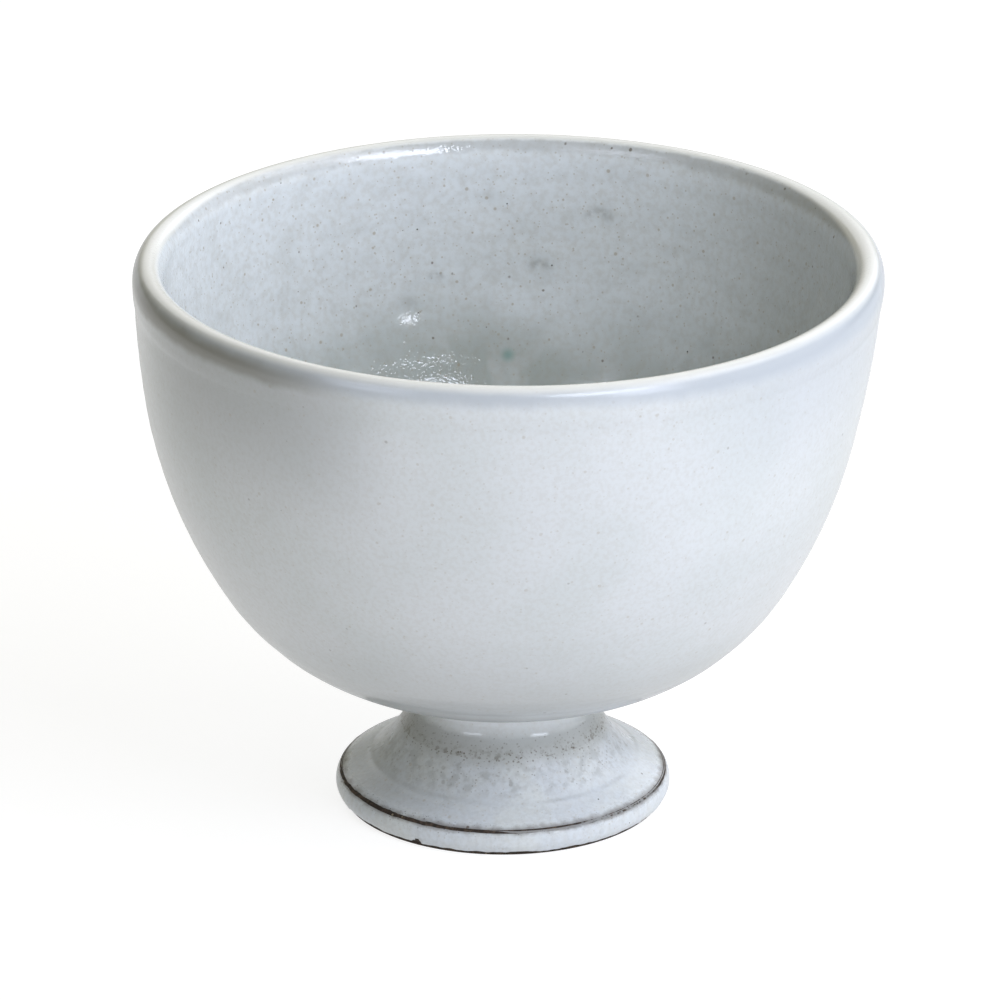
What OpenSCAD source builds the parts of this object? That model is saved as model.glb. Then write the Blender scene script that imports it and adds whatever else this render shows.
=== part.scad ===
// Thrown stoneware ice cream cup: a deep bowl on a flared foot, luted together with slip and glazed.
// Sizes are in millimetres. The origin is the centre of the standing ring, and +Z is the wheel's axis.
// Profiles are half sections in [radius, height]. A lean is a wall's angle from the vertical, in degrees,
// and is positive where the wall runs in towards the axis on its way down.

/* [Bowl] */
// Diameter over the widest line of the glazed lip
rim_d = 117; // [107:1:127]
// Height from the table to the crest of the lip
cup_h = 90.2; // [83:0.2:98]
// Radius of the crown along the crest of the lip
crown_r = 1.9; // [1.5:0.1:2.4]
// Lean of the lip's outside where the crown runs into the outer shoulder
lip_lean = 30; // [22:1:40]
// Radius of the outer shoulder, from the crown to the widest line
shoulder_r = 4.5; // [3:0.1:6]
// Lean of the lip's inside where the crown runs into the inner shoulder
inner_lean = 35; // [25:1:45]
// Radius of the inner shoulder, from the crown to the inner wall
inner_shoulder_r = 6; // [4:0.5:10]
// How far the lip's bead stands out from the wall under it
bead_out = 0.45; // [0.3:0.05:0.7]
// Height of the bead, from the widest line to the crease under it
bead_h = 3.8; // [3:0.2:5]
// Radius of the upper wall's curve
wall_r = 139; // [120:1:160]
// Lean of the wall just under the bead
wall_lean = 4; // [2:0.5:5]
// Lean where the upper wall runs into the belly
wall_turn = 12.5; // [10:0.5:15]
// Lean where the belly runs into the underside
belly_turn = 31; // [26:1:36]
// Lean of the shelf under the bowl, which runs straight in to the fillet at the neck
under_turn = 81; // [77:1:85]
// Diameter of the underside where the shelf starts
under_d = 42; // [38:0.5:48]
// Height of the underside above the table, where the shelf starts
under_h = 21.7; // [20.7:0.1:24]
// Diameter of the level floor inside the bowl
floor_d = 24; // [16:1:30]
// Thickness of the floor's clay, over the well
floor_t = 5.5; // [4.5:0.1:7]

/* [Neck] */
// Diameter of the neck at its narrowest, over its glaze
neck_d = 27.2; // [25:0.2:31]
// Thickness of the neck's wall, with its glaze
neck_wall = 4.6; // [3.6:0.1:6]
// Radius of the fillet between the neck and the shelf
neck_fillet = 3.8; // [2.5:0.1:4.6]
// Radius of the hollow sweep from the narrowest neck down to the slip
neck_sweep = 5; // [3:0.1:6.5]
// Radius of the round at the roof of the well
well_round = 3; // [1:0.5:5]

/* [Slip joint] */
// Thickness of the layer of slip between the neck and the foot
slip_t = 0.8; // [0.4:0.1:1.2]
// Slope of the wiped slip between the neck and the flare, in degrees from the vertical
slip_slope = 32; // [24:1:38]

/* [Foot] */
// Diameter over the foot's band
foot_d = 52.6; // [49:0.2:58]
// How far the band stands out from the standing ring
band_out = 0.9; // [0.5:0.05:1.1]
// Height of the band, from the table to the lower edge of the flare
band_h = 4.2; // [3.6:0.1:5]
// How far the lower edge of the flare lies inside the band
edge_in = 1; // [0.7:0.05:1.4]
// Height of the bare clay line between the flare and the band
arris_h = 0.4; // [0.2:0.05:0.6]
// Diameter of the flare at its throwing step
step_d = 42; // [40:0.2:45]
// Height of the throwing step above the table
step_h = 6.45; // [5.9:0.05:7.4]
// Width of the step's ledge
step_w = 0.25; // [0.15:0.05:0.4]
// Radius of the flare's hollow curve, above the step
flare_r = 21; // [14:1:40]
// Height of the top of the flare, where the slip lies
flare_h = 11.9; // [10.7:0.1:12.9]
// Width of the standing ring
ring_w = 5; // [4:0.1:7]

/* [Glaze] */
// Thickness of each coat of glaze
glaze_t = 0.5; // [0.3:0.05:0.6]
// Height of the bare clay between the table and the band's glaze
bare_h = 0.5; // [0.2:0.05:0.8]

/* [Hidden] */
$fn = 96;
// Farthest that a chord may lie from the arc that it stands for
chord_err = 0.01;
clay_colour = [0.42, 0.32, 0.25];
slip_colour = [0.50, 0.49, 0.47];
liner_colour = [0.78, 0.80, 0.81];
glaze_colour = [0.80, 0.83, 0.85];

// Number of chords that stand for an arc
function chords(radius, sweep) = max(2, ceil(abs(sweep) / (2 * acos(1 - chord_err / abs(radius)))));

// The same points in the other order
function reversed(points) = [for (i = [len(points) - 1 : -1 : 0]) points[i]];

// All points but the first
function rest(points) = [for (i = [1 : len(points) - 1]) points[i]];

// Run towards the axis and fall of an arc of unit radius, from one lean to another
function arc_leg(from, to) = [cos(from) - cos(to), sin(to) - sin(from)];

// Radii of two arcs, from lean a through b to c, that together make the given run and fall
function closing_radii(leg, a, b, c) =
    let (first = arc_leg(a, b))
    let (second = arc_leg(b, c))
    let (det = first.x * second.y - second.x * first.y)
    [(leg.x * second.y - second.x * leg.y) / det, (first.x * leg.y - first.y * leg.x) / det];

// Arcs that follow on smoothly from a start point, from legs of [radius, end lean].
// A negative radius curves outwards. Each arc is [centre, radius, start lean, end lean].
function arc_chain(start, lean, legs, i = 0) =
    i == len(legs) ? [] :
    let (radius = legs[i][0])
    let (end = legs[i][1])
    let (centre = start - radius * [cos(lean), -sin(lean)])
    concat(
        [[centre, radius, lean, end]],
        arc_chain(centre + radius * [cos(end), -sin(end)], end, legs, i + 1)
    );

// Point on an arc at one lean, with its radius changed by off
function arc_point(arc, lean, off) = arc[0] + (arc[1] + off) * [cos(lean), -sin(lean)];

// Points along a row of arcs, where each arc leaves out its first point but the first arc keeps it
function arc_points(arcs, off) = concat(
    [arc_point(arcs[0], arcs[0][2], off)],
    [
        for (arc = arcs)
            let (sweep = arc[3] - arc[2])
            let (n = chords(arc[1], sweep))
            for (i = [1 : n]) arc_point(arc, arc[2] + sweep * i / n, off)
    ]
);

// Levels from one height to another, as many as an arc of that radius needs
function levels(from, to, radius) =
    let (n = chords(radius, asin(min(1, abs(to - from) / radius))))
    [for (i = [0 : n]) from + (to - from) * i / n];

// Point where a row of arcs ends
function chain_end(arcs) = arc_point(arcs[len(arcs) - 1], arcs[len(arcs) - 1][3], 0);

// Neck and well: the shelf's end, the fillet, the hollow sweep and the wiped face of the slip
neck_r = neck_d / 2;
well_r = neck_r - neck_wall;
fillet_r = neck_r + neck_fillet * (1 - cos(under_turn));
fillet_start = [fillet_r, under_h - (under_d / 2 - fillet_r) / tan(under_turn)];
neck = arc_chain(fillet_start, under_turn, [[-neck_fillet, 0], [-neck_sweep, -slip_slope]]);
slip_top = chain_end(neck);
joint_h = flare_h + slip_t;
roof_h = fillet_start.y;

function slip_at(z, depth) = slip_top.x + (slip_top.y - z) * tan(slip_slope) - depth / cos(slip_slope);

// Outside of the bowl: crown, shoulder, bead, upper wall, belly and underside
shoulder_run = crown_r * cos(lip_lean) + shoulder_r * (1 - cos(lip_lean));
crest = [rim_d / 2 - shoulder_run, cup_h];
bead_r = (bead_out ^ 2 + bead_h ^ 2) / (2 * bead_out);
outer_lip = arc_chain(crest, -90, [[crown_r, -lip_lean], [shoulder_r, 0], [bead_r, asin(bead_h / bead_r)]]);
crease = chain_end(outer_lip);
shelf_start = [under_d / 2, under_h];
outer_leg = crease - shelf_start - wall_r * arc_leg(wall_lean, wall_turn);
outer_radii = closing_radii(outer_leg, wall_turn, belly_turn, under_turn);
outer_wall = arc_chain(crease, wall_lean, [
    [wall_r, wall_turn],
    [outer_radii[0], belly_turn],
    [outer_radii[1], under_turn]
]);

// Outside of the bowl from the crest of the lip down to the slip, at a depth under the glaze's surface
function outer_path(depth) = concat(
    arc_points(concat(outer_lip, outer_wall), -depth),
    arc_points(neck, -depth)
);

// Inside of the bowl: crown, shoulder, upper wall, belly and curve into the level floor
inner_lip = arc_chain(crest, -90, [[crown_r, inner_lean - 180], [inner_shoulder_r, wall_lean - 180]]);
inner_start = chain_end(inner_lip);
inner_wall_r = wall_r - (crease.x - inner_start.x);
floor_edge = [floor_d / 2, roof_h + floor_t + glaze_t];
inner_leg = inner_start - floor_edge - inner_wall_r * arc_leg(wall_lean, wall_turn);
inner_radii = closing_radii(inner_leg, wall_turn, belly_turn, 90);
inner_wall = arc_chain(inner_start, wall_lean, [
    [inner_wall_r, wall_turn],
    [inner_radii[0], belly_turn],
    [inner_radii[1], 90]
]);

// Inside of the bowl from the crest of the lip down to the axis, at a depth under the glaze's surface
function inner_path(depth) = concat(
    arc_points(inner_lip, -depth),
    rest(arc_points(inner_wall, depth)),
    [[0, floor_edge.y - depth]]
);

// Flare of the foot: a hollow curve from the slip down to the throwing step, then a straight cone
foot_r = foot_d / 2;
edge_r = foot_r - edge_in;
flare_top = [slip_at(flare_h, 0), flare_h];
step = [step_d / 2, step_h];
flare_chord = step - flare_top;
flare_rise = sqrt(flare_r ^ 2 - (norm(flare_chord) / 2) ^ 2);
flare_centre = (flare_top + step) / 2 + flare_rise * [-flare_chord.y, flare_chord.x] / norm(flare_chord);
cone_run = (edge_r - step.x - step_w) / (step_h - band_h);

function flare_at(z, depth) = flare_centre.x - sqrt((flare_r + depth) ^ 2 - (z - flare_centre.y) ^ 2);

function cone_at(z, depth) = edge_r - (z - band_h) * cone_run - depth * sqrt(1 + cone_run ^ 2);

// Outside of the flare from its top down to its lower edge, at a depth under the glaze's surface
function flare_path(depth) = concat(
    [for (z = levels(flare_h, step_h, flare_r)) [flare_at(z, depth), z]],
    [[cone_at(step_h, depth), step_h], [cone_at(band_h, depth), band_h]]
);

// Band of the foot: one bulging curve
band_mid = band_h / 2;
band_top = band_h - arris_h;
band_r = (band_mid ^ 2 + band_out ^ 2) / (2 * band_out);

function band_at(z, depth) = foot_r - band_r + sqrt((band_r - depth) ^ 2 - (z - band_mid) ^ 2);

// Outside of the band from the arris down to the bare ring, at a depth under the glaze's surface
function band_path(depth) = [for (z = levels(band_top, bare_h, band_r)) [band_at(z, depth), z]];

// Turns a half section into a solid round the wheel's axis
module thrown(points) {
    rotate_extrude() polygon(points);
}

// Clay bowl with its hollow neck, which is open to the well under the foot
module bowl() {
    roof_round = [[well_r - well_round, roof_h - well_round], well_round, 0, -90];
    color(clay_colour)
        thrown(concat(
            outer_path(glaze_t),
            [[slip_at(joint_h, glaze_t), joint_h], [well_r, joint_h]],
            arc_points([roof_round], 0),
            [[0, roof_h]],
            reversed(rest(inner_path(glaze_t)))
        ));
}

// Clay foot: standing ring, band, bare arris flush with the glaze, flare and the well under it
module flared_foot() {
    color(clay_colour)
        thrown(concat(
            [[foot_r - band_out - ring_w, 0], [band_at(bare_h, glaze_t), 0]],
            reversed(band_path(glaze_t)),
            [[band_at(band_top, 0), band_top], [edge_r, band_h]],
            reversed(flare_path(glaze_t)),
            [[well_r, flare_h]]
        ));
}

// Layer of slip between the neck and the foot, and the skin that was wiped up the neck from it
module luting_slip() {
    skin_top = slip_top - glaze_t * [cos(slip_slope), sin(slip_slope)];
    color(slip_colour)
        thrown([
            slip_top,
            flare_top,
            [well_r, flare_h],
            [well_r, joint_h],
            [slip_at(joint_h, glaze_t), joint_h],
            skin_top
        ]);
}

// Glaze inside the bowl
module liner_glaze() {
    color(liner_colour)
        thrown(concat(inner_path(0), reversed(inner_path(glaze_t))));
}

// Glaze on the outside of the bowl and the neck
module outer_glaze() {
    color(glaze_colour)
        thrown(concat(outer_path(0), reversed(outer_path(glaze_t))));
}

// Glaze on the flare of the foot
module flare_glaze() {
    color(glaze_colour)
        thrown(concat(flare_path(0), reversed(flare_path(glaze_t))));
}

// Glaze on the band of the foot
module band_glaze() {
    color(glaze_colour)
        thrown(concat(band_path(0), reversed(band_path(glaze_t))));
}

bowl();
flared_foot();
luting_slip();
liner_glaze();
outer_glaze();
flare_glaze();
band_glaze();
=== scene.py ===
import math

import bmesh
import bpy
import numpy as np
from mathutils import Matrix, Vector, noise
from mathutils.bvhtree import BVHTree


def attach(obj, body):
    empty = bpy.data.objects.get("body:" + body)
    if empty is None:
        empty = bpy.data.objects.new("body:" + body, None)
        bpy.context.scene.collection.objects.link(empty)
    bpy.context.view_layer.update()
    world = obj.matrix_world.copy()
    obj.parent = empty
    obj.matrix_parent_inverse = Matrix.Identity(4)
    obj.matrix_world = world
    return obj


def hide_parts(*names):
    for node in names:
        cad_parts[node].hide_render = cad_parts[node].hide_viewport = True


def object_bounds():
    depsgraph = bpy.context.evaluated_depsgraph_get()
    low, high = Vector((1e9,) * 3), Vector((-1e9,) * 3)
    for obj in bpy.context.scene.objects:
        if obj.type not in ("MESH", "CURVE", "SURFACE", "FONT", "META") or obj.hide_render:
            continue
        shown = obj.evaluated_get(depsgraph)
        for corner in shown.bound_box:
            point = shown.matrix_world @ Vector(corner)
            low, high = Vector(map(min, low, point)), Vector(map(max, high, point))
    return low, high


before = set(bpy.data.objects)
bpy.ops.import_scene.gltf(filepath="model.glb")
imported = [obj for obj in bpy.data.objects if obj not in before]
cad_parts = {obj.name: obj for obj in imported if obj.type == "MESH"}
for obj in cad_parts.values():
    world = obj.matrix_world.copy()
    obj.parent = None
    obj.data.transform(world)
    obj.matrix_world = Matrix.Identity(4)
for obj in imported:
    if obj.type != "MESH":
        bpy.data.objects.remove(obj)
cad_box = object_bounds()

# Hand-thrown ice cream cup: the turned CAD solids become thrown and glazed stoneware.
# Lengths are in millimetres until MM turns them into the frame's metres.
MM = 0.001

# Camera, from a pinhole fitted to the photograph
PHOTO_SIZE = 1000
FOCAL_PIXELS = 8000
SENSOR_WIDTH = 36
CAMERA_PITCH = math.radians(22.06)
CAMERA_PLACE = Vector((-0.8, -1153.2, 516.4)) * MM

# Section smoothing
SAME_POINT = 2e-6
SHARP_TURN = math.radians(20)
STRAIGHT_RATIO = 3
RING_SPACING = 0.7
FLARE_SPACING = 0.35
HIDDEN_SPACING = 3
RING_TURN = math.radians(2.5)
DIVISIONS = 420

# Throwing: waves round the rim as (cosine, sine) of one, two and three turns
RIM_LIFT = ((-0.23, -0.09), (-0.2, 0.44), (0.04, 0))
RIM_SPREAD = ((0.05, 0.25), (-0.15, 0.2), (0.3, 0.25))
LIFT_MEAN = -0.75
SPREAD_MEAN = -0.55
WAVE_FOOT = 20
# Sideways drift of the wheel's axis, as (height, drift)
DRIFT = ((0, -0.35), (11, -0.35), (18, 0), (40, -0.15), (65, -0.3), (90, 0.28))

# Hollows and swells of the wall against the turned shape, as (height, growth)
SWELL = (
    (19, 0),
    (22, 0.25),
    (25, -0.15),
    (31, -0.5),
    (40, -0.42),
    (52, -0.25),
    (72, -0.15),
    (86, 0),
)

# Relief of the glazed faces. A wave is (size of its lumps, height).
GLAZE = 0.5
COVERED = (0.5 * GLAZE, 0.9 * GLAZE)
CREST_CALM = (0.5, 4)
RIPPLE_PITCH = 3.4
OUTER_RIPPLE = 0.012
OUTER_WAVE = (16, 0.05)
OUTER_CALM = (22, 30)
LINER_RIPPLE = 0.02
LINER_WAVE = (11, 0.12)
FLARE_WAVE = (5, 0.04)

# Marks inside the bowl, by their pixels in the photograph. A dent is (pixel, radius, depth), and the
# first few have painted shade on the upper half of a grey ring.
SHADED_DENTS = 3
DENT_BRIM = 0.9
DENTS = (
    ((599, 224), 3.2, 0.24),
    ((540, 274), 2.8, 0.22),
    ((436, 281), 1.8, 0.2),
    ((409, 308), 2.2, 0.5),
    ((487, 205), 3.5, 0.22),
    ((572, 238), 2.8, 0.2),
    ((520, 232), 2.4, 0.2),
)
COPPER_PIXEL = (508, 355)
COPPER_RADIUS = 0.8
# Crinkled spots of the liner that catch the light, as (pixel, radius)
GLINTS = (
    ((410, 317), 2.0),
    ((409, 241), 0.6),
    ((422, 206), 0.35),
    ((436, 274), 0.7),
    ((388, 290), 0.45),
    ((455, 294), 0.6),
)

# Thick glaze on the outside
SMEAR_PIXEL = (740, 505)
SMEAR_RADIUS = 9
SMEAR_SOFT = 8

# Throwing line half way down the foot, where the glaze softens the step of the clay
STEP_REACH = (18.5, 24.3)
STEP_SOFT = 0.6
STEP_RADIUS = 21.3
STEP_RIDGE = 0.045
RIDGE_WIDTH = 0.4
RIDGE_BREAK = 8
# Radii of the painted shade on the throwing line and of the painted light under it
STEP_SHADE_RADIUS = 20.8
STEP_LIGHT_RADIUS = 21.7

# Glaze edges on the foot: where the flare's glaze runs over the arris, and where it draws back
ARRIS = 4.05
ARRIS_REACH = 0.7
RUN_FROM, RUN_TO = math.radians(-88), math.radians(-58)
RUN_SOFT = 0.1
RUN_SLOPE = (0.62, 0.42)
THIN_AT = math.radians(-135)
THIN_REACH = 0.65
BACK_SLOPE = (0.87, 0.48)
# The band's lower edge lifts off the table, and has one chip
BAND_REACH = 1.6
BAND_LIFT = 0.2
BAND_TOP_REACH = 0.6
BAND_TOP_RISE = 0.1
CHIP_PIXEL = (418, 840)
CHIP_WIDTH = 0.7
CHIP_HEIGHT = 0.9

# Heights between which the glazes change, from none of a look to all of it
NECK_TOP = (20, 22)
STREAKS_END = (20.5, 22)
NECK_GLOSS = (24, 19)
BELLY = (42, 24)
BELLY_FRONT = (50, 37)
BELLY_STREAKS = (33, 27)
WALL_LEFT = (58, 84)
WALL_RIGHT = (62, 86)
LIP = (60, 70)
LINER_FLOOR = (67, 52)
SLIP_WASH = (15.7, 14.3)
SLIP_FADE = (14.6, 13)
SLIP_LOW = (13.2, 11)
FLARE_TOP = (10.8, 12.3)
FLARE_MOTTLED = ((12.2, 10), (6.6, 8.4))
FLARE_LEFT_SHADE = (3.5, 6)
STEP_LIGHT_HEIGHT = (4.5, 5)
PATCH_TOP = (3, 3.6)
# The same across the cup, from left to right, and for the back from front to back
WALL_RIGHT_SIDE = (20, 48)
LIP_RIGHT_SIDE = (5, 45)
LINER_RIGHT_SIDE = (24, 54)
LINER_LEFT_END = (-40, -56)
LINER_BACK = (-5, 40)
BACK_RIGHT = (0, 45)
SLIP_SIDES = (7, 14.5)
# The same by distance from the crest of the lip
OUTER_BLUE = ((0.2, 2.2), (5, 2.4))
OUTER_BROWN = ((1.0, 3.2), (5.7, 4.1))
OUTER_CREAM = (2.2, 0.3)
LINER_GREY_BAND = ((0.9, 1.6), (3.7, 2.5))
LINER_CREAM = (3.5, 2.5)
# The same by distance from the arris, and round the foot in radians
ARRIS_BARE = (0.7, 0.1)
ARRIS_HAZE = (1.3, 0.2)
ARRIS_GLOSS = (0.9, 0.3)
PATCH_ARC = ((-1.2, -0.95), (-0.25, -0.6))
# Directions, in degrees from the left towards the front
LEFT_FRONT = 33
NEAR_FRONT = 45
FRONT = 80

# Studio. The table's strengths are for the camera, as a light and in reflections.
TABLE_SIZE = 6
TABLE_TONE = (0.35, 0.35, 0.35)
TABLE_SHOWN = 0.8
TABLE_LIGHT = 0.41
TABLE_MIRRORED = 0.56
WORLD_LIGHT = 0.12
WORLD_COLOUR = (1.15, 1, 0.35)
WHITE = (1, 1, 1)
COOL = (0.95, 1, 1.16)
CLEAR = (0.98, 1, 1.06)
LAMP_DISTANCE = 1


def section_of(node):
    """Half section of a turned CAD node, as (radius, height) points, and whether it closes."""
    turned = bmesh.new()
    turned.from_mesh(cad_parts[node].data)
    for vert in turned.verts:
        vert.co = (math.hypot(vert.co.x, vert.co.y), 0, vert.co.z)
    bmesh.ops.remove_doubles(turned, verts=turned.verts, dist=SAME_POINT)
    ends = [vert for vert in turned.verts if len(vert.link_edges) == 1]
    start = max(ends or turned.verts, key=lambda vert: (vert.co.z, -vert.co.x))
    order = [start]
    while True:
        step = [edge.other_vert(order[-1]) for edge in order[-1].link_edges]
        fresh = [vert for vert in step if vert not in order]
        if not fresh:
            break
        order.append(fresh[0])
    points = np.array([(vert.co.x, vert.co.z) for vert in order]) / MM
    turned.free()
    if ends:
        points = np.vstack([(0, points[0, 1]), points, (0, points[-1, 1])])
    return points, not ends


def travelled(points):
    """Distance along a line of points to each of them."""
    return np.concatenate([[0], np.cumsum(np.linalg.norm(np.diff(points, axis=0), axis=1))])


def from_line(points, line):
    """Vectors to points from their nearest places on a line of points."""
    a, b = line[:-1], line[1:]
    along = b - a
    share = ((points[:, None] - a) * along).sum(axis=2) / np.maximum((along**2).sum(axis=1), 1e-12)
    gap = points[:, None] - (a + along * np.clip(share, 0, 1)[:, :, None])
    return gap[np.arange(len(points)), np.linalg.norm(gap, axis=2).argmin(axis=1)]


def end_tangents(points, closed):
    """Unit tangents at both ends of each section edge: shared at smooth points, split at corners."""
    edges = np.roll(points, -1, axis=0) - points
    if not closed:
        edges = edges[:-1]
    length = np.linalg.norm(edges, axis=1)
    way = edges / length[:, None]
    count = len(edges)
    start, finish = way.copy(), way.copy()
    smooth_start = np.zeros(count, bool)
    for after in range(count):
        before = after - 1
        if before < 0 and not closed:
            continue
        turn = math.acos(np.clip(way[before] @ way[after], -1, 1))
        if turn > SHARP_TURN:
            continue
        if length[after] > STRAIGHT_RATIO * length[before]:
            shared = way[after]
        elif length[before] > STRAIGHT_RATIO * length[after]:
            shared = way[before]
        else:
            shared = way[before] * length[after] + way[after] * length[before]
            shared = shared / np.linalg.norm(shared)
        finish[before] = shared
        start[after] = shared
        smooth_start[after] = True
    for edge in range(count):
        opens = smooth_start[edge]
        ends = smooth_start[(edge + 1) % count] and (closed or edge + 1 < count)
        if opens and not ends:
            finish[edge] = 2 * (way[edge] @ start[edge]) * way[edge] - start[edge]
        if ends and not opens:
            start[edge] = 2 * (way[edge] @ finish[edge]) * way[edge] - finish[edge]
    return start, finish, length


def smooth_section(node, clay, spacing):
    """The section of a node, resampled along smooth curves that keep its corners, finely where it shows."""
    points, closed = section_of(node)
    start, finish, length = end_tangents(points, closed)
    fine = []
    for edge in range(len(length)):
        a, b = points[edge], points[(edge + 1) % len(points)]
        turn = math.acos(np.clip(start[edge] @ finish[edge], -1, 1))
        hidden = clay is None or np.linalg.norm(from_line(np.array([(a + b) / 2]), clay)) < GLAZE / 5
        gap = HIDDEN_SPACING if hidden else spacing
        steps = max(1, math.ceil(length[edge] / gap), math.ceil(turn / RING_TURN))
        t = np.arange(steps)[:, None] / steps
        fine.append(
            a * (2 * t**3 - 3 * t**2 + 1)
            + b * (3 * t**2 - 2 * t**3)
            + start[edge] * length[edge] * (t**3 - 2 * t**2 + t)
            + finish[edge] * length[edge] * (t**3 - t**2)
        )
    if not closed:
        fine.append(points[-1:])
    return np.vstack(fine), closed


def soften_step(points, stands):
    """Rounds the step off a section of the foot's glaze, within the reach of the step."""
    travel = travelled(points)
    shows = np.flatnonzero(stands > COVERED[0])
    share = np.gradient(travel[shows])
    soft = points.copy()
    for i in shows:
        if STEP_REACH[0] < points[i, 0] < STEP_REACH[1]:
            weight = share * np.exp(-(((travel[shows] - travel[i]) / STEP_SOFT) ** 2))
            soft[i] = (points[shows] * weight[:, None]).sum(axis=0) / weight.sum()
    return soft


def seen_at(pixel, node):
    """The place on a CAD node that a pixel of the photograph shows, in millimetres."""
    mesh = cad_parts[node].data
    tree = BVHTree.FromPolygons([v.co for v in mesh.vertices], [p.vertices for p in mesh.polygons])
    across, down = ((value - PHOTO_SIZE / 2) / FOCAL_PIXELS for value in pixel)
    pitch_sin, pitch_cos = math.sin(CAMERA_PITCH), math.cos(CAMERA_PITCH)
    way = Vector((across, pitch_cos - down * pitch_sin, -pitch_sin - down * pitch_cos))
    return np.array(tree.ray_cast(CAMERA_PLACE, way.normalized())[0]) / MM


def smooth_step(low, high, value):
    """Rises smoothly from 0 at low to 1 at high."""
    t = np.clip((value - low) / (high - low), 0, 1)
    return t * t * (3 - 2 * t)


def wave(terms, phi):
    """Sum of waves round the axis."""
    return sum(c * np.cos((k + 1) * phi) + s * np.sin((k + 1) * phi) for k, (c, s) in enumerate(terms))


def rough_field(places, size):
    """Smooth random field of about unit height over places, with lumps of the given size."""
    return np.array([noise.noise(Vector(place) / size) for place in places])


def thrown(places):
    """Moves points of the turned shape to where the thrower's hands left them."""
    x, y, height = places.T
    phi, radius = np.arctan2(y, x), np.hypot(x, y)
    rim = cad_box[1].z / MM
    grow = np.clip((height - WAVE_FOOT) / (rim - WAVE_FOOT), 0, 1) ** 2
    out = radius + grow * (wave(RIM_SPREAD, phi) + SPREAD_MEAN) * np.clip(radius / WAVE_FOOT, 0, 1)
    out = out + np.interp(height, *np.array(SWELL).T) * np.clip(radius / WAVE_FOOT, 0, 1)
    side = np.interp(height, *np.array(DRIFT).T)
    up = height + grow * (wave(RIM_LIFT, phi) + LIFT_MEAN)
    return np.stack([out * np.cos(phi) + side, out * np.sin(phi), up], axis=-1)


def liner_relief(places):
    """Height of the liner's face over its turned shape: throwing ripple, soft lumps and dents."""
    size, height = LINER_WAVE
    turns = np.arctan2(places[:, 1], places[:, 0]) / (2 * math.pi)
    relief = height * rough_field(places, size)
    relief += LINER_RIPPLE * np.sin(2 * math.pi * (places[:, 2] / RIPPLE_PITCH + turns))
    for pixel, radius, depth in DENTS:
        gap = np.linalg.norm(places - seen_at(pixel, "liner_glaze"), axis=1)
        gap = (gap / radius) ** 2
        relief -= depth * np.exp(-gap) * (1 - DENT_BRIM * gap)
    return np.clip(relief, -COVERED[1], GLAZE)


def outer_relief(places):
    """Height of the outer glaze over its turned shape: a fine throwing ripple and very soft lumps."""
    size, height = OUTER_WAVE
    turns = np.arctan2(places[:, 1], places[:, 0]) / (2 * math.pi)
    relief = height * rough_field(places, size)
    relief += OUTER_RIPPLE * np.sin(2 * math.pi * (places[:, 2] / RIPPLE_PITCH + turns))
    return relief * smooth_step(*OUTER_CALM, places[:, 2])


def flare_relief(places):
    """Height of the flare's glaze over its turned shape: a faint throwing line and soft lumps."""
    size, height = FLARE_WAVE
    radius = np.hypot(places[:, 0], places[:, 1])
    line = STEP_RIDGE * (0.8 + rough_field(places, RIDGE_BREAK))
    line = line * np.exp(-(((radius - STEP_RADIUS) / RIDGE_WIDTH) ** 2))
    return line + height * rough_field(places, size)


def edge_noise(places, size, seed):
    """Random field round the foot for the wavering edges of its glaze."""
    return rough_field(places * (1, 1, 0) + (0, 0, seed), size)


def flare_edge(places):
    """Moves the lower edge of the flare's glaze back from the arris, and over it in one place."""
    phi = np.arctan2(places[:, 1], places[:, 0])
    radius = np.hypot(places[:, 0], places[:, 1])
    low = places[:, 2].min()
    near = 1 - smooth_step(low, low + ARRIS_REACH, places[:, 2])
    runs = smooth_step(RUN_FROM - RUN_SOFT, RUN_FROM + RUN_SOFT, phi)
    runs = runs * (1 - smooth_step(RUN_TO - RUN_SOFT, RUN_TO + RUN_SOFT, phi))
    waver = 0.5 + 0.7 * edge_noise(places, 2.2, 3.1) + 0.4 * edge_noise(places, 0.8, 7.7)
    left = np.exp(-(((phi - THIN_AT) / THIN_REACH) ** 2))
    back = np.clip(waver, 0, 1) * (0.05 + 0.35 * left) * (1 - runs)
    runs = 0.35 * (1 - left) + runs * np.clip(0.5 + 0.3 * waver, 0.4, 0.75)
    out = near * (RUN_SLOPE[0] * runs - BACK_SLOPE[0] * back)
    drop = near * (RUN_SLOPE[1] * runs - BACK_SLOPE[1] * back)
    grow = 1 + out / radius
    return places * np.stack([grow, grow, np.ones_like(out)], 1) - np.outer(drop, (0, 0, 1))


def band_edge(places):
    """Lifts the lower edge of the band's glaze off the table by a wavering height, with one chip."""
    low, high = places[:, 2].min(), places[:, 2].max()
    chip = np.linalg.norm((places - seen_at(CHIP_PIXEL, "band_glaze")) * (1, 1, 0), axis=1)
    lift = BAND_LIFT + 0.15 * edge_noise(places, 3, 1.3) + 0.1 * edge_noise(places, 0.9, 5.2)
    lift = np.clip(lift, 0, 1) + CHIP_HEIGHT * np.exp(-((chip / CHIP_WIDTH) ** 4))
    near = 1 - smooth_step(low, low + BAND_REACH, places[:, 2])
    upper = smooth_step(high - BAND_TOP_REACH, high, places[:, 2])
    rise = BAND_TOP_RISE * np.clip(0.5 + edge_noise(places, 1.4, 9.4), 0, 1)
    return places + np.outer(near * lift + upper * rise, (0, 0, 1))


def crest_gaps(points, closed):
    """Distance along a section from its highest point to each of its points."""
    travel = travelled(points)
    gaps = np.abs(travel - travel[points[:, 1].argmax()])
    if closed:
        whole = travel[-1] + np.linalg.norm(points[0] - points[-1])
        gaps = np.minimum(gaps, whole - gaps)
    return gaps


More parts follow.
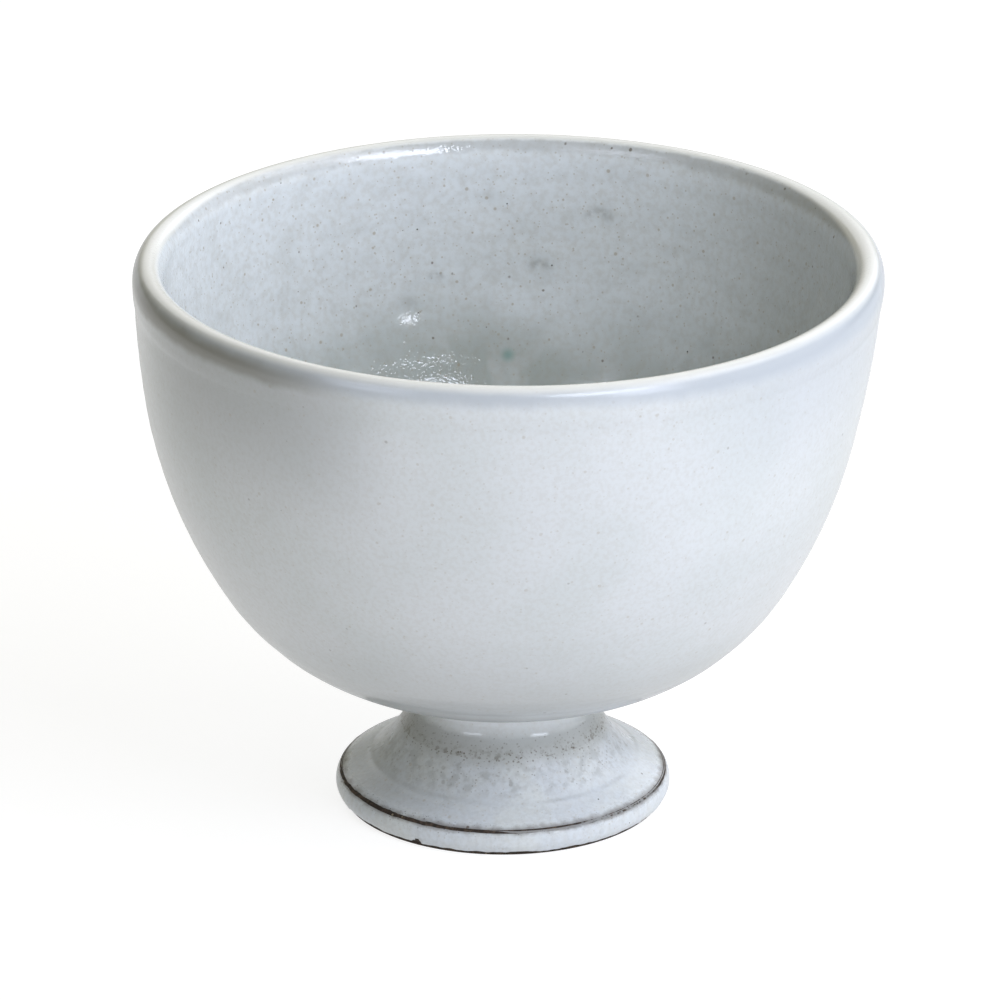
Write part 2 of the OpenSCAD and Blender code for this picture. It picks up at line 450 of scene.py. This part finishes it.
def ring_faces(rings, closed):
    """Faces between the neighbouring rings of a turned piece, where a ring may be a single point."""
    faces = []
    following = rings[1:] + rings[:1] if closed else rings[1:]
    for first, second in zip(rings, following):
        for i in range(DIVISIONS):
            j = (i + 1) % DIVISIONS
            corners = ((first, i), (second, i), (second, j), (first, j))
            faces.append(list(dict.fromkeys(int(ring[k % len(ring)]) for ring, k in corners)))
    return faces


def smooth_object(name, verts, faces, crests, material):
    """Smoothly shaded object that keeps its corners and each point's distance from the crest."""
    mesh = bpy.data.meshes.new(name)
    mesh.from_pydata([tuple(v) for v in verts], [], faces)
    shape = bmesh.new()
    shape.from_mesh(mesh)
    bmesh.ops.recalc_face_normals(shape, faces=shape.faces)
    shape.to_mesh(mesh)
    shape.free()
    mesh.attributes.new("crest", "FLOAT", "POINT").data.foreach_set("value", crests.astype(np.float32))
    mesh.shade_smooth()
    mesh.set_sharp_from_angle(angle=2 * SHARP_TURN)
    mesh.materials.append(material)
    piece = bpy.data.objects.new(name, mesh)
    bpy.context.scene.collection.objects.link(piece)
    return piece


def lathe(node, material, clay_node=None, relief=None, edge=None, soften=None, spacing=RING_SPACING):
    """Turns a node's section into a thrown piece that stands for the node."""
    clay = None
    if clay_node:
        clay, closes = section_of(clay_node)
        clay = np.vstack([clay, clay[:1]]) if closes else clay
    points, closed = smooth_section(node, clay, spacing)
    from_crest = crest_gaps(points, closed)
    away = from_line(points, clay) if clay_node else np.zeros_like(points)
    stands = np.linalg.norm(away, axis=1)
    if soften:
        points = soften(points, stands)
    cover = smooth_step(*COVERED, stands)
    away = away / np.maximum(stands, 1e-6)[:, None]
    phi = np.arange(DIVISIONS) * 2 * math.pi / DIVISIONS
    rings, places, normals, covers, crests = [], [], [], [], []
    count = 0
    for (radius, height), (out, up), covered, crest in zip(points, away, cover, from_crest):
        ring_phi = phi[:1] if radius < SAME_POINT else phi
        level = np.ones_like(ring_phi)
        rings.append(count + np.arange(len(ring_phi)))
        count += len(ring_phi)
        places.append(np.stack([radius * np.cos(ring_phi), radius * np.sin(ring_phi), height * level], 1))
        normals.append(np.stack([out * np.cos(ring_phi), out * np.sin(ring_phi), up * level], 1))
        covers.append(covered * level)
        crests.append(crest * level)
    places, normals = np.vstack(places), np.vstack(normals)
    covers, crests = np.concatenate(covers), np.concatenate(crests)
    if relief:
        height = relief(places) * covers * smooth_step(*CREST_CALM, crests)
        places = places + normals * height[:, None]
    if edge:
        places = edge(places)
    verts = thrown(places) * MM
    piece = smooth_object(node + "_thrown", verts, ring_faces(rings, closed), crests, material)
    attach(piece, "root")
    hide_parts(node)
    return piece


class Shade:
    """One material, built by short calls that add a node and return its output.

    Places are in millimetres.
    """

    def __init__(self, name):
        self.material = bpy.data.materials.new(name)
        self.material.use_nodes = True
        self.tree = self.material.node_tree
        self.shader = self.tree.nodes["Principled BSDF"]
        place = self.tree.nodes.new("ShaderNodeTexCoord").outputs["Object"]
        self.place = self.vector("SCALE", place, scale=1 / MM)
        split = self.add("ShaderNodeSeparateXYZ", self.place)
        self.x, self.y, self.z = split.outputs
        self.phi = self.math("ARCTAN2", self.y, self.x)
        self.radius = self.vector("LENGTH", self.vector("MULTIPLY", self.place, (1, 1, 0)))
        crest = self.tree.nodes.new("ShaderNodeAttribute")
        crest.attribute_name = "crest"
        self.crest = crest.outputs["Fac"]

    def put(self, socket, value):
        """Links a socket to a node's output, or sets it to a value."""
        if isinstance(value, bpy.types.NodeSocket):
            self.tree.links.new(value, socket)
        elif value is not None:
            if socket.type == "RGBA":
                value = (*value, 1)
            socket.default_value = value

    def add(self, kind, *values, **settings):
        """New node with its first inputs and its settings."""
        new = self.tree.nodes.new(kind)
        for key, value in settings.items():
            setattr(new, key, value)
        for socket, value in zip(new.inputs, values):
            self.put(socket, value)
        return new

    def math(self, operation, a, b=None, c=None):
        """Result of an operation on numbers."""
        return self.add("ShaderNodeMath", a, b, c, operation=operation).outputs[0]

    def vector(self, operation, a, b=None, scale=None):
        """Result of an operation on vectors."""
        new = self.add("ShaderNodeVectorMath", a, b, operation=operation)
        if scale is not None:
            new.inputs["Scale"].default_value = scale
        return new.outputs["Value" if operation in ("LENGTH", "DISTANCE", "DOT_PRODUCT") else "Vector"]

    def step(self, value, low, high):
        """Rises smoothly from 0 at low to 1 at high."""
        new = self.add("ShaderNodeMapRange", interpolation_type="SMOOTHSTEP")
        if low > high:
            self.put(new.inputs["To Min"], 1.0)
            self.put(new.inputs["To Max"], 0.0)
            low, high = high, low
        for name, setting in (("Value", value), ("From Min", low), ("From Max", high)):
            self.put(new.inputs[name], setting)
        return new.outputs["Result"]

    def between(self, value, ends):
        """Rises over the first of two ranges and falls over the second."""
        return self.times(self.step(value, *ends[0]), self.step(value, *ends[1]))

    def times(self, first, *others):
        """Product of two or more values."""
        for other in others:
            first = self.math("MULTIPLY", first, other)
        return first

    def noise(self, size, detail=2, shift=0, stretch=(1, 1, 1), tangle=0.0):
        """Random value about 0.5, with lumps of the given size."""
        place = self.vector("MULTIPLY", self.place, tuple(s / size for s in stretch))
        place = self.vector("ADD", place, (shift, shift / 2, -shift))
        new = self.add("ShaderNodeTexNoise")
        settings = {"Vector": place, "Scale": 1.0, "Detail": detail, "Distortion": tangle}
        for name, setting in settings.items():
            self.put(new.inputs[name], setting)
        return new.outputs["Fac"]

    def specks(self, size, share, radius, shift=0, ragged=0.35):
        """Spots in a share of random cells of the given size: 1 in a spot, 0 outside."""
        place = self.vector("SCALE", self.place, scale=1 / size)
        place = self.vector("ADD", place, (shift, -shift, shift / 3))
        bend = self.tree.nodes.new("ShaderNodeTexNoise")
        self.put(bend.inputs["Vector"], place)
        self.put(bend.inputs["Scale"], 0.5 * size / radius)
        bent = self.vector("SUBTRACT", bend.outputs["Color"], (0.5, 0.5, 0.5))
        place = self.vector("ADD", place, self.vector("SCALE", bent, scale=2 * ragged * radius / size))
        cells = self.add("ShaderNodeTexVoronoi")
        self.put(cells.inputs["Vector"], place)
        self.put(cells.inputs["Scale"], 1.0)
        chance, grade, _ = self.add("ShaderNodeSeparateColor", cells.outputs["Color"]).outputs
        gap = self.math("MULTIPLY", cells.outputs["Distance"], size / radius)
        gap = self.math("DIVIDE", gap, self.math("MULTIPLY_ADD", grade, 0.8, 0.4))
        return self.times(self.step(gap, 1.0, 0.45), self.math("LESS_THAN", chance, share))

    def mix(self, share, first, second):
        """First colour with a share of the second over it."""
        new = self.add("ShaderNodeMix", data_type="RGBA")
        for name, value in (("Factor_Float", share), ("A_Color", first), ("B_Color", second)):
            self.put(next(s for s in new.inputs if s.identifier == name), value)
        return next(s for s in new.outputs if s.identifier == "Result_Color")

    def spot(self, centre, radius, soft):
        """1 within a ball round a place, 0 outside it."""
        gap = self.vector("DISTANCE", self.place, tuple(centre))
        return self.step(gap, radius + soft, radius - soft)

    def bumped(self, bumps):
        """Normal that is bent by bumps of (height from 0 to 1, depth in millimetres)."""
        normal = None
        for height, depth in bumps:
            bump = self.tree.nodes.new("ShaderNodeBump")
            self.put(bump.inputs["Height"], height)
            self.put(bump.inputs["Distance"], depth * MM)
            if normal:
                self.put(bump.inputs["Normal"], normal)
            normal = bump.outputs["Normal"]
        return normal

    def coat(self, roughness, ior, bumps):
        """Clear coat with its own bumps, which takes the place of the surface's gloss."""
        self.shader.inputs["Specular IOR Level"].default_value = 0
        self.shader.inputs["Coat Weight"].default_value = 1
        self.shader.inputs["Coat Roughness"].default_value = roughness
        self.shader.inputs["Coat IOR"].default_value = ior
        self.put(self.shader.inputs["Coat Normal"], self.bumped(bumps))

    def finish(self, colour, roughness, bumps=(), ior=1.5):
        """Links the colour, the roughness and the bumps."""
        self.shader.inputs["IOR"].default_value = ior
        self.put(self.shader.inputs["Base Color"], colour)
        self.put(self.shader.inputs["Roughness"], roughness)
        self.put(self.shader.inputs["Normal"], self.bumped(bumps))
        return self.material


def tone(red, green, blue):
    """Linear colour from screen values of 0 to 255."""
    return tuple(((v / 255 + 0.055) / 1.055) ** 2.4 if v > 10 else v / 3295 for v in (red, green, blue))


PALE = tone(220, 224, 227)
CLOUD = tone(215, 220, 222)
SMEAR = tone(232, 237, 241)
LINER_PALE = tone(230, 236, 241)
LINER_DEEP = tone(178, 185, 183)
CREAM = tone(246, 247, 244)
# Thin glaze under the lip, partly painted shade
THIN_GLAZE_AND_SHADE = tone(140, 139, 132)
THIN_BLUE = tone(185, 192, 200)
TAN = tone(168, 155, 132)
IRON = tone(92, 74, 58)
PIN = tone(40, 36, 32)
COPPER = tone(96, 150, 144)
FOOT_PALE = tone(211, 217, 223)
FOOT_GREY = tone(158, 161, 161)
SLIP_GREY = tone(186, 189, 188)
SLIP_PALE = tone(197, 201, 202)
SLIP_BROWN = tone(98, 88, 74)
CLAY = tone(82, 68, 56)
CLAY_DARK = tone(44, 36, 31)


def speckled(shade, colour, tan, iron, thickly, pins=0.1):
    """Fine tan specks, larger iron specks and a few dark pin marks over a colour."""
    colour = shade.mix(shade.times(shade.specks(0.9, 0.7 * thickly, 0.2), tan * 0.8), colour, TAN)
    colour = shade.mix(shade.times(shade.specks(2.2, 0.5 * thickly, 0.34, 4), tan), colour, TAN)
    colour = shade.mix(shade.times(shade.specks(3, 0.2 * thickly, 0.32, 9), iron * 0.8), colour, IRON)
    return shade.mix(shade.times(shade.specks(2.4, pins * thickly, 0.17, 15, 0.1), iron), colour, PIN)


def facing(shade, turn=LEFT_FRONT, low=0.5, high=0.95):
    """Share by which a place faces a direction, which is turned by degrees from the left towards the front.

    It is 0 under the low cosine and 1 over the high one.
    """
    across, ahead = -math.cos(math.radians(turn)), -math.sin(math.radians(turn))
    along_it = shade.math("MULTIPLY_ADD", shade.x, across, shade.times(shade.y, ahead))
    return shade.step(shade.math("DIVIDE", along_it, shade.radius), low, high)


def wavering(shade, value, size, detail, shift, height):
    """A value that noise moves up and down by half the height."""
    swing = shade.math("MULTIPLY_ADD", shade.noise(size, detail, shift), height, -height / 2)
    return shade.math("ADD", value, swing)


def outer_material():
    """Satin pale glaze of the outside, with fine specks, thin glaze under the lip and painted shade."""
    shade = Shade("outer_glaze")
    colour = shade.mix(shade.step(shade.noise(17, 3), 0.35, 0.65), PALE, CLOUD)
    grain = shade.step(shade.noise(0.7, 3, 2), 0.35, 0.75)
    colour = shade.mix(shade.times(grain, 0.13), colour, TAN)
    streak = shade.step(shade.noise(1.5, 3, 5, (0.06, 0.06, 1.2)), 0.45, 0.72)
    # Painted shade under the belly and at its front, with grey streaks round its lowest part
    above_neck = shade.step(shade.z, *NECK_TOP)
    under = shade.times(shade.step(shade.z, *BELLY), above_neck)
    colour = shade.mix(shade.times(under, 0.45), colour, FOOT_GREY)
    ahead = shade.times(facing(shade, FRONT, 0.7, 1), shade.step(shade.z, *BELLY_FRONT), above_neck)
    colour = shade.mix(shade.times(ahead, 0.2), colour, FOOT_GREY)
    low = shade.times(shade.step(shade.z, *BELLY_STREAKS), shade.step(shade.z, *STREAKS_END))
    colour = shade.mix(shade.times(low, streak, 0.5), colour, FOOT_GREY)
    smear = shade.spot(seen_at(SMEAR_PIXEL, "outer_glaze"), SMEAR_RADIUS, SMEAR_SOFT)
    smear = shade.times(smear, shade.noise(9, 2, 27, (0.4, 0.4, 1.3)))
    colour = shade.mix(shade.times(smear, 0.2), colour, SMEAR)
    # Painted shade and thinner glaze on the upper wall at the left front, and bluer grey at the right
    upper_wall_tone = shade.times(shade.step(shade.z, *WALL_LEFT), facing(shade, NEAR_FRONT, 0.86, 0.995))
    colour = shade.mix(shade.times(upper_wall_tone, 0.55), colour, FOOT_GREY)
    upper_wall_tone = shade.times(shade.step(shade.z, *WALL_RIGHT), shade.step(shade.x, *WALL_RIGHT_SIDE))
    colour = shade.mix(shade.times(upper_wall_tone, 0.5), colour, THIN_BLUE)
    colour = speckled(shade, colour, 0.27, 0.4, 0.9, 0.05)
    # The wash of slip that shows through the glaze at the foot of the neck
    washed = shade.step(wavering(shade, shade.z, 1.6, 3, 6, 1), *SLIP_WASH)
    colour = shade.mix(shade.times(washed, 0.85), colour, SLIP_PALE)
    # Browner at the left front: painted shade
    colour = shade.mix(shade.times(washed, facing(shade), 0.15), colour, SLIP_BROWN)
    colour = shade.mix(shade.times(washed, shade.specks(0.5, 0.65, 0.15, 2), 0.5), colour, SLIP_BROWN)
    # Thin glaze under the lip, browner at the left front, partly painted shade there, and bluer elsewhere
    ragged = wavering(shade, shade.crest, 4, 2, 8, 1.2)
    high = shade.step(shade.z, *LIP)
    left = facing(shade, LEFT_FRONT, 0.82, 0.985)
    right = shade.step(shade.x, *LIP_RIGHT_SIDE)
    lower = shade.math("MULTIPLY_ADD", right, -1, ragged)
    blue = shade.times(shade.step(ragged, *OUTER_BLUE[0]), shade.step(lower, *OUTER_BLUE[1]), high)
    colour = shade.mix(shade.times(blue, shade.math("MULTIPLY_ADD", right, 0.12, 0.78)), colour, THIN_BLUE)
    brown = shade.between(ragged, OUTER_BROWN)
    brown = shade.times(brown, high, left)
    colour = shade.mix(shade.times(brown, 0.82), colour, THIN_GLAZE_AND_SHADE)
    cream = shade.step(shade.math("MULTIPLY_ADD", left, 0.1, shade.crest), *OUTER_CREAM)
    colour = shade.mix(shade.times(cream, high), colour, CREAM)
    peel = shade.noise(1.1, 1, 3)
    neck = shade.step(shade.z, *NECK_GLOSS)
    roughness = shade.math("MULTIPLY_ADD", shade.noise(6, 2, 11), 0.12, 0.16)
    roughness = shade.math("MULTIPLY_ADD", neck, -0.13, roughness)
    return shade.finish(colour, roughness, [(peel, 0.015)], 1.55)


def liner_material():
    """Glossy pale glaze of the inside, greyer towards the floor, with specks, marks and painted shade."""
    shade = Shade("liner_glaze")
    # Greyer and greener towards the floor: a greener glaze with painted shade in the depth of the bowl
    deep = wavering(shade, shade.z, 20, 2, 1, 16)
    colour = shade.mix(shade.step(deep, *LINER_FLOOR), LINER_PALE, LINER_DEEP)
    # Painted shade on the right side of the inside
    colour = shade.mix(shade.times(shade.step(shade.x, *LINER_RIGHT_SIDE), 0.48), colour, FOOT_GREY)
    cloud = shade.step(shade.noise(9, 3, 3, tangle=0.6), 0.5, 0.75)
    colour = shade.mix(shade.times(cloud, 0.5), colour, CLOUD)
    mottle = shade.step(shade.noise(3.6, 4, 13, tangle=0.4), 0.45, 0.7)
    colour = shade.mix(shade.times(mottle, 0.09), colour, FOOT_GREY)
    grain = shade.step(shade.noise(1.0, 4, 2), 0.35, 0.75)
    colour = shade.mix(shade.times(grain, 0.19), colour, TAN)
    colour = speckled(shade, colour, 0.55, 0.85, 1.4, 0.17)
    # Painted shade on the upper half of a broken grey ring round the first dents
    for pixel, radius, _ in DENTS[:SHADED_DENTS]:
        centre = seen_at(pixel, "liner_glaze")
        gap = shade.vector("DISTANCE", shade.place, tuple(centre))
        ring = shade.step(gap, 0.2 * radius, 0.6 * radius)
        ring = shade.times(ring, shade.step(gap, 1.1 * radius, 0.6 * radius))
        above = shade.step(shade.z, centre[2], centre[2] + 0.7 * radius)
        broken = shade.step(shade.noise(1.3, 3, 17), 0.3, 0.65)
        colour = shade.mix(shade.times(ring, above, broken, 0.6), colour, FOOT_GREY)
    copper = shade.spot(seen_at(COPPER_PIXEL, "liner_glaze"), COPPER_RADIUS, COPPER_RADIUS)
    colour = shade.mix(shade.times(copper, 0.6), colour, COPPER)
    # Cream lip, narrow at the back and the left, with a grey band and brown spots under it at the back
    ragged = wavering(shade, shade.crest, 2.4, 3, 8, 1.4)
    back = shade.step(shade.y, *LINER_BACK)
    band = shade.times(shade.between(ragged, LINER_GREY_BAND), back)
    colour = shade.mix(shade.times(band, 0.45), colour, FOOT_GREY)
    back_right = shade.math("MULTIPLY_ADD", shade.x, 0.6, shade.times(shade.y, 0.8))
    back_right = shade.step(back_right, *BACK_RIGHT)
    brown = shade.times(band, shade.specks(1.5, 0.6, 0.4, 21))
    brown = shade.times(brown, shade.math("MULTIPLY_ADD", back_right, 0.6, 0.15))
    colour = shade.mix(brown, colour, SLIP_BROWN)
    narrow = shade.math("MAXIMUM", back, shade.times(shade.step(shade.x, *LINER_LEFT_END), 0.55))
    cream = shade.step(shade.math("MULTIPLY_ADD", narrow, 1.9, shade.crest), *LINER_CREAM)
    colour = shade.mix(cream, colour, CREAM)
    # The clear coat is finely crinkled, and more so in the spots that catch the light
    peel = shade.noise(1.3, 1, 3)
    crinkle = shade.noise(0.42, 1, 6)
    patch = 0.0
    for pixel, radius in GLINTS:
        patch = shade.math("ADD", patch, shade.spot(seen_at(pixel, "liner_glaze"), radius, 0.5 * radius))
    wrinkle = shade.times(shade.noise(0.45, 1, 29), patch)
    pits = shade.specks(2.4, 0.24, 0.17, 15, 0.1)
    shade.coat(0.05, 1.75, [(peel, 0.015), (crinkle, 0.06), (wrinkle, 0.12), (pits, -0.1)])
    return shade.finish(colour, 0.6, [(peel, 0.015), (pits, -0.1)])


def slip_material():
    """Grey slip under a thin wash of glaze, with brown pepper."""
    shade = Shade("slip")
    cloud = shade.step(shade.noise(1.8, 4), 0.35, 0.7)
    fade = shade.times(shade.step(shade.z, *SLIP_FADE), shade.math("MULTIPLY_ADD", cloud, 0.5, 0.25))
    colour = shade.mix(fade, SLIP_PALE, SLIP_GREY)
    # Greyer at both sides, partly as painted shade, and browner at the left front as painted shade
    ends = shade.step(shade.math("ABSOLUTE", shade.x), *SLIP_SIDES)
    colour = shade.mix(shade.times(ends, 0.15), colour, FOOT_GREY)
    colour = shade.mix(shade.times(facing(shade), 0.15), colour, SLIP_BROWN)
    low = shade.step(shade.math("MULTIPLY_ADD", shade.noise(3, 2, 4), -1.5, shade.z), *SLIP_LOW)
    pepper = shade.specks(0.5, 0.8, 0.19, 2)
    colour = shade.mix(shade.times(pepper, shade.math("MULTIPLY_ADD", low, 0.45, 0.4)), colour, SLIP_BROWN)
    # Brown grime with painted shade along the slip's lower edge, in the crease above the flare
    grime_and_shade = shade.step(shade.noise(0.7, 3, 14), 0.48, 0.62)
    colour = shade.mix(shade.times(grime_and_shade, low, 0.5), colour, SLIP_BROWN)
    colour = shade.mix(shade.times(shade.specks(1.1, 0.4, 0.2, 8), low, 0.8), colour, IRON)
    return shade.finish(colour, 0.32, [(shade.noise(0.6, 2, 7), 0.06)])


def foot_material():
    """Pale glaze of the foot, mottled where it is thin, with bare clay along the arris."""
    shade = Shade("foot_glaze")
    colour = shade.mix(shade.step(shade.noise(7, 3), 0.4, 0.7), FOOT_PALE, CLOUD)
    grain = shade.step(shade.noise(0.9, 3, 2), 0.3, 0.75)
    colour = shade.mix(shade.times(grain, 0.14), colour, TAN)
    # The flare starts as grey and peppered as the slip
    upper = shade.step(shade.math("ADD", shade.noise(1.6, 3, 6), shade.z), *FLARE_TOP)
    colour = shade.mix(shade.times(upper, 0.6), colour, SLIP_GREY)
    colour = shade.mix(shade.times(upper, shade.specks(0.5, 0.8, 0.19, 2), 0.7), colour, SLIP_BROWN)
    # Grey and brown mottles half way down the flare, where the glaze is thin
    zone = shade.between(shade.z, FLARE_MOTTLED)
    mottle = shade.step(shade.noise(1.9, 4, 4), 0.46, 0.66)
    colour = shade.mix(shade.times(zone, mottle, 0.45), colour, FOOT_GREY)
    colour = shade.mix(shade.times(zone, shade.specks(2.6, 0.4, 0.55, 31, 0.8), 0.35), colour, SLIP_BROWN)
    colour = shade.mix(shade.times(shade.step(shade.noise(0.6, 3, 19), 0.4, 0.7), 0.16), colour, FOOT_GREY)
    stain = shade.step(shade.noise(1.3, 4, 12), 0.58, 0.74)
    colour = shade.mix(shade.times(zone, stain, 0.35), colour, SLIP_BROWN)
    colour = shade.mix(shade.times(zone, shade.specks(0.6, 0.6, 0.17, 5), 0.5), colour, SLIP_BROWN)
    # Painted shade on the left of the flare
    colour = shade.mix(shade.times(facing(shade), shade.step(shade.z, *FLARE_LEFT_SHADE), 0.2), colour, FOOT_GREY)
    # Painted shade on the throwing line and painted light under it
    above = shade.step(shade.math("ABSOLUTE", shade.math("SUBTRACT", shade.radius, STEP_SHADE_RADIUS)), 0.5, 0.05)
    below = shade.step(shade.math("ABSOLUTE", shade.math("SUBTRACT", shade.radius, STEP_LIGHT_RADIUS)), 0.6, 0.1)
    faint = shade.step(shade.noise(5, 3, 33), 0.35, 0.65)
    colour = shade.mix(shade.times(above, faint, 0.25), colour, FOOT_GREY)
    colour = shade.mix(shade.times(below, faint, shade.step(shade.z, *STEP_LIGHT_HEIGHT), 0.3), colour, PALE)
    colour = speckled(shade, colour, 0.35, 0.9, 1.6)
    # Thin glaze along the arris, which lets the clay through
    gap = shade.math("ABSOLUTE", shade.math("SUBTRACT", shade.z, ARRIS))
    gap = shade.math("ADD", gap, shade.math("MULTIPLY_ADD", shade.noise(1.6, 4, 10), -0.8, 0.4))
    bare = shade.step(gap, *ARRIS_BARE)
    colour = shade.mix(shade.times(bare, 0.6), colour, CLAY)
    haze = shade.times(shade.step(gap, *ARRIS_HAZE), shade.specks(0.4, 0.65, 0.13, 23))
    haze = shade.times(haze, shade.math("MULTIPLY_ADD", facing(shade), 0.5, 0.35))
    colour = shade.mix(haze, colour, CLAY_DARK)
    roughness = shade.math("MULTIPLY_ADD", shade.noise(5, 2, 11), 0.1, 0.24)
    roughness = shade.math("MULTIPLY_ADD", shade.step(gap, *ARRIS_GLOSS), -0.16, roughness)
    return shade.finish(colour, roughness, [(shade.noise(1.1, 1, 3), 0.05)])


def clay_material():
    """Dark bare clay, which shows at the arris and at the table."""
    shade = Shade("stoneware")
    colour = shade.mix(shade.step(shade.noise(0.8, 4), 0.4, 0.72), CLAY_DARK, CLAY)
    colour = shade.mix(shade.times(shade.specks(1.1, 0.4, 0.25), 0.6), colour, TAN)
    # Patches of thin glaze on the arris at the right front
    right = shade.between(shade.phi, PATCH_ARC)
    patch = shade.times(right, shade.step(shade.noise(0.9, 3, 6), 0.42, 0.6))
    patch = shade.times(patch, shade.step(shade.z, *PATCH_TOP))
    colour = shade.mix(shade.times(patch, 0.8), colour, FOOT_GREY)
    return shade.finish(colour, 0.75, [(shade.noise(0.5, 3, 3), 0.08)])


def white_table():
    """Table that glows enough to lie level with the white background, and keeps the cup's shadow."""
    bpy.ops.mesh.primitive_plane_add(size=TABLE_SIZE)
    floor = bpy.context.object
    floor.name = "floor"
    table = bpy.data.materials.new("table")
    table.use_nodes = True
    nodes, links = table.node_tree.nodes, table.node_tree.links
    surface = nodes["Principled BSDF"]
    surface.inputs["Base Color"].default_value = (*TABLE_TONE, 1)
    surface.inputs["Roughness"].default_value = 1
    surface.inputs["Specular IOR Level"].default_value = 0
    surface.inputs["Emission Color"].default_value = (*WHITE, 1)
    rays = nodes.new("ShaderNodeLightPath")
    shown = nodes.new("ShaderNodeMath")
    mirrored = nodes.new("ShaderNodeMath")
    shown.operation = mirrored.operation = "MULTIPLY_ADD"
    shown.inputs[1].default_value = TABLE_SHOWN - TABLE_LIGHT
    shown.inputs[2].default_value = TABLE_LIGHT
    mirrored.inputs[1].default_value = TABLE_MIRRORED - TABLE_LIGHT
    links.new(rays.outputs["Is Camera Ray"], shown.inputs[0])
    links.new(rays.outputs["Is Glossy Ray"], mirrored.inputs[0])
    links.new(shown.outputs[0], mirrored.inputs[2])
    links.new(mirrored.outputs[0], surface.inputs["Emission Strength"])
    floor.data.materials.append(table)


def studio_world():
    """World that is white to the camera, and dim as a light."""
    world = bpy.data.worlds.new("studio")
    bpy.context.scene.world = world
    world.use_nodes = True
    nodes, links = world.node_tree.nodes, world.node_tree.links
    rays = nodes.new("ShaderNodeLightPath")
    level = nodes.new("ShaderNodeMapRange")
    level.inputs["To Min"].default_value = WORLD_LIGHT
    level.inputs["To Max"].default_value = 1
    tint = nodes.new("ShaderNodeMix")
    tint.data_type = "RGBA"
    sockets = {socket.identifier: socket for socket in [*tint.inputs, *tint.outputs]}
    sockets["A_Color"].default_value = (*WORLD_COLOUR, 1)
    sockets["B_Color"].default_value = (*WHITE, 1)
    links.new(rays.outputs["Is Camera Ray"], level.inputs["Value"])
    links.new(rays.outputs["Is Camera Ray"], sockets["Factor_Float"])
    links.new(sockets["Result_Color"], nodes["Background"].inputs["Color"])
    links.new(level.outputs["Result"], nodes["Background"].inputs["Strength"])


def softbox(name, azimuth, elevation, width, height, power, colour, glows=True, shows=True, only=None):
    """Area lamp that faces the cup from a direction in degrees, where azimuth 0 is the camera's side.

    It glows where it lights dull surfaces, and shows where it is mirrored in the glaze. With only, it
    lights the objects of that collection alone.
    """
    a, e = math.radians(azimuth), math.radians(elevation)
    light = bpy.data.lights.new(name, "AREA")
    light.shape = "RECTANGLE"
    light.size, light.size_y = width, height
    light.energy = power
    light.color = colour
    lamp = bpy.data.objects.new(name, light)
    bpy.context.scene.collection.objects.link(lamp)
    way = Vector((math.sin(a) * math.cos(e), -math.cos(a) * math.cos(e), math.sin(e)))
    lamp.location = way * LAMP_DISTANCE
    lamp.rotation_euler = way.to_track_quat("Z", "Y").to_euler()
    lamp.visible_camera = False
    lamp.visible_diffuse = glows
    lamp.visible_glossy = shows
    if only:
        lamp.light_linking.receiver_collection = only


def studio_lamps(outside):
    """Soft lamps round the cup.

    The two edge lamps give the glints on the neck and the lip. They light only the outside, because
    they would leave a sheen inside the bowl.
    """
    glints = bpy.data.collections.new("glints")
    glints.objects.link(outside)
    softbox("key", 37, 41.5, 0.46, 0.27, 3.3, COOL)
    softbox("key_low", 40, 10.5, 0.6, 0.2, 2.6, COOL, shows=False)
    softbox("fill", -37, 10.5, 0.45, 0.2, 0.9, COOL, shows=False)
    softbox("fill_high", -65, 40, 0.4, 0.3, 0.5, COOL, shows=False)
    softbox("fill_glint", -42, 40, 0.46, 0.26, 0.75, COOL, glows=False)
    softbox("key_edge", 46, 26, 0.34, 0.15, 0.9, COOL, glows=False, only=glints)
    softbox("fill_edge", -41, 26, 0.42, 0.14, 0.55, COOL, glows=False, only=glints)
    softbox("side", 95, 25, 0.8, 0.6, 1.3, CLEAR)
    softbox("side_low", 85, 14, 0.4, 0.2, 0.3, CLEAR, shows=False)
    softbox("side_high", 80, 52, 0.8, 0.5, 2.9, CLEAR)
    softbox("back", 180, 35, 1.2, 0.6, 2.3, CLEAR)
    softbox("back_low", 180, 12, 1.2, 0.4, 0.36, CLEAR)
    softbox("back_right", 135, 30, 0.8, 0.6, 1.2, COOL)


def photo_camera():
    """Camera at the photograph's place."""
    camera = bpy.data.objects.new("camera", bpy.data.cameras.new("camera"))
    bpy.context.scene.collection.objects.link(camera)
    camera.data.sensor_width = SENSOR_WIDTH
    camera.data.lens = FOCAL_PIXELS / PHOTO_SIZE * SENSOR_WIDTH
    camera.location = CAMERA_PLACE
    camera.rotation_euler = (math.pi / 2 - CAMERA_PITCH, 0, 0)
    bpy.context.scene.camera = camera
    bpy.context.scene.view_settings.view_transform = "Standard"


clay = clay_material()
foot_glaze = foot_material()
lathe("bowl", clay)
lathe("flared_foot", clay)
lathe("luting_slip", slip_material())
lathe("liner_glaze", liner_material(), "bowl", relief=liner_relief)
outside = lathe("outer_glaze", outer_material(), "bowl", relief=outer_relief)
lathe(
    "flare_glaze",
    foot_glaze,
    "flared_foot",
    relief=flare_relief,
    edge=flare_edge,
    soften=soften_step,
    spacing=FLARE_SPACING,
)
lathe("band_glaze", foot_glaze, "flared_foot", edge=band_edge)

white_table()
studio_world()
studio_lamps(outside)
photo_camera()
